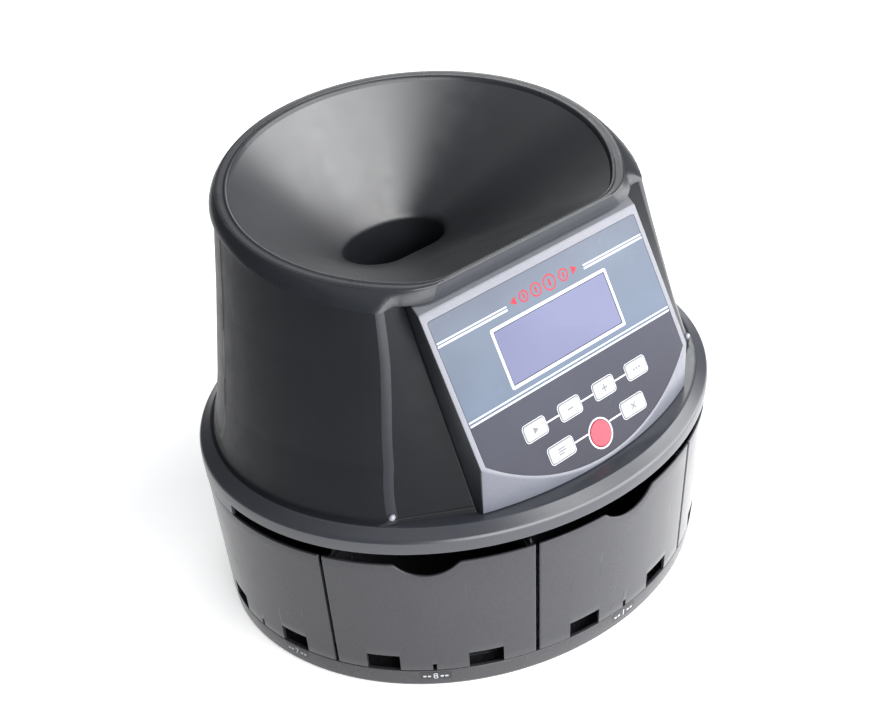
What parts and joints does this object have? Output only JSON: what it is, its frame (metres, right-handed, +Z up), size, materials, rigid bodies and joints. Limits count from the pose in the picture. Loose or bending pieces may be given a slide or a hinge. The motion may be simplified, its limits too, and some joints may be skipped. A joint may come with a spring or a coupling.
{
  "type": "coin sorting machine",
  "caption": "Round table-top coin sorter with a D-shaped feed hopper, sloping keypad console and a ring of pull-out coin bins.",
  "frame": {"origin": "on the table surface, under the middle of the machine's outline", "axes": "+Z up; -Y is the front, where the console faces; +X is to the right of somebody looking at the console"},
  "size_m": [0.3564, 0.302, 0.2859],
  "materials": {
    "body_plastic": "satin charcoal, fine grain",
    "drawer_plastic": "smooth semi-gloss charcoal",
    "funnel_plastic": "smooth satin charcoal",
    "console_plastic": "satin dark grey with silvery edges",
    "overlay_film": "glossy printed film",
    "lcd_glass": "periwinkle display glass",
    "key_white": "off-white",
    "key_red": "red",
    "silicone": "soft grey",
    "circuit_board": "green board",
    "inner_plastic": "black moulded",
    "flat_cable": "grey ribbon",
    "steel": "brushed",
    "zinc_plate": "bright plated",
    "bronze": "sintered bronze",
    "gear_plastic": "natural acetal",
    "rocker_plastic": "translucent red",
    "coil": "varnished laminations",
    "foot_rubber": "black rubber"
  },
  "bodies": {
    "chassis": {"base_tray": "body_plastic", "upper_housing": "body_plastic", "hopper_funnel": "funnel_plastic", "console_frame": "console_plastic", "membrane_overlay": "overlay_film", "lcd_window": "lcd_glass", "lcd_module": "circuit_board", "key_mat": "silicone", "control_board": "circuit_board", "ribbon_cable": "flat_cable", "deck_plate": "inner_plastic", "deck_screw_1": "steel", "deck_screw_2": "steel", "deck_screw_3": "steel", "centre_column": "body_plastic", "divider_1": "body_plastic", "divider_2": "body_plastic", "divider_3": "body_plastic", "divider_4": "body_plastic", "divider_5": "body_plastic", "divider_6": "body_plastic", "divider_7": "body_plastic", "divider_8": "body_plastic", "chute_ring": "inner_plastic", "sorting_plate": "steel", "fence_ring": "steel", "sensor_ring": "circuit_board", "upper_bearing": "bronze", "lower_bearing": "bronze", "motor_bracket": "zinc_plate", "drive_motor": "steel", "power_board": "circuit_board", "transformer": "coil", "power_inlet": "inner_plastic", "data_port": "zinc_plate", "switch_frame": "inner_plastic", "rubber_foot_1": "foot_rubber", "rubber_foot_2": "foot_rubber", "rubber_foot_3": "foot_rubber", "rubber_foot_4": "foot_rubber"},
    "bin_1": {"drawer_1": "drawer_plastic"},
    "bin_2": {"drawer_2": "drawer_plastic"},
    "bin_3": {"drawer_3": "drawer_plastic"},
    "bin_4": {"drawer_4": "drawer_plastic"},
    "bin_5": {"drawer_5": "drawer_plastic"},
    "bin_6": {"drawer_6": "drawer_plastic"},
    "bin_7": {"drawer_7": "drawer_plastic"},
    "bin_8": {"drawer_8": "drawer_plastic"},
    "start_button": {"key_start": "key_white"},
    "minus_button": {"key_minus": "key_white"},
    "plus_button": {"key_plus": "key_white"},
    "set_button": {"key_set": "key_white"},
    "report_button": {"key_report": "key_white"},
    "stop_button": {"key_stop": "key_red"},
    "clear_button": {"key_clear": "key_white"},
    "disc_rotor": {"coin_disc": "zinc_plate", "spindle": "steel", "disc_gear": "gear_plastic"},
    "motor_rotor": {"motor_pinion": "bronze"},
    "rocker": {"power_rocker": "rocker_plastic"}
  },
  "joints": [
    {"name": "bin_1_slide", "type": "slide", "parent": "chassis", "child": "bin_1", "axis": [0, -1, 0], "range_m": [0, 0.085]},
    {"name": "bin_2_slide", "type": "slide", "parent": "chassis", "child": "bin_2", "axis": [0.7507, -0.6606, 0], "range_m": [0, 0.085]},
    {"name": "bin_3_slide", "type": "slide", "parent": "chassis", "child": "bin_3", "axis": [1, 0, 0], "range_m": [0, 0.085]},
    {"name": "bin_4_slide", "type": "slide", "parent": "chassis", "child": "bin_4", "axis": [0.7752, 0.6318, 0], "range_m": [0, 0.085]},
    {"name": "bin_5_slide", "type": "slide", "parent": "chassis", "child": "bin_5", "axis": [0, 1, 0], "range_m": [0, 0.085]},
    {"name": "bin_6_slide", "type": "slide", "parent": "chassis", "child": "bin_6", "axis": [-0.7752, 0.6318, 0], "range_m": [0, 0.085]},
    {"name": "bin_7_slide", "type": "slide", "parent": "chassis", "child": "bin_7", "axis": [-1, 0, 0], "range_m": [0, 0.085]},
    {"name": "bin_8_slide", "type": "slide", "parent": "chassis", "child": "bin_8", "axis": [-0.7507, -0.6606, 0], "range_m": [0, 0.085]},
    {"name": "start_button_press", "type": "slide", "parent": "chassis", "child": "start_button", "axis": [0, 0.8771, -0.4802], "range_m": [0, 0.0005], "stiffness_N_per_m": 400},
    {"name": "minus_button_press", "type": "slide", "parent": "chassis", "child": "minus_button", "axis": [0, 0.8771, -0.4802], "range_m": [0, 0.0005], "stiffness_N_per_m": 400},
    {"name": "plus_button_press", "type": "slide", "parent": "chassis", "child": "plus_button", "axis": [0, 0.8771, -0.4802], "range_m": [0, 0.0005], "stiffness_N_per_m": 400},
    {"name": "set_button_press", "type": "slide", "parent": "chassis", "child": "set_button", "axis": [0, 0.8771, -0.4802], "range_m": [0, 0.0005], "stiffness_N_per_m": 400},
    {"name": "report_button_press", "type": "slide", "parent": "chassis", "child": "report_button", "axis": [0, 0.8771, -0.4802], "range_m": [0, 0.0005], "stiffness_N_per_m": 400},
    {"name": "stop_button_press", "type": "slide", "parent": "chassis", "child": "stop_button", "axis": [0, 0.8771, -0.4802], "range_m": [0, 0.0005], "stiffness_N_per_m": 400},
    {"name": "clear_button_press", "type": "slide", "parent": "chassis", "child": "clear_button", "axis": [0, 0.8771, -0.4802], "range_m": [0, 0.0005], "stiffness_N_per_m": 400},
    {"name": "disc_spin", "type": "hinge", "parent": "chassis", "child": "disc_rotor", "pos_m": [0, 0.00579, 0.1], "axis": [0, 0, 1], "continuous": true},
    {"name": "pinion_spin", "type": "hinge", "parent": "chassis", "child": "motor_rotor", "pos_m": [0.0375, 0.00579, 0.089], "axis": [0, 0, 1], "continuous": true},
    {"name": "rocker_tilt", "type": "hinge", "parent": "chassis", "child": "rocker", "pos_m": [0.034, 0.12679, 0.152], "axis": [1, 0, 0], "range_deg": [0, 16]}
  ],
  "couplings": [
    {"joint": "pinion_spin", "follows": "disc_spin", "ratio": -4}
  ]
}
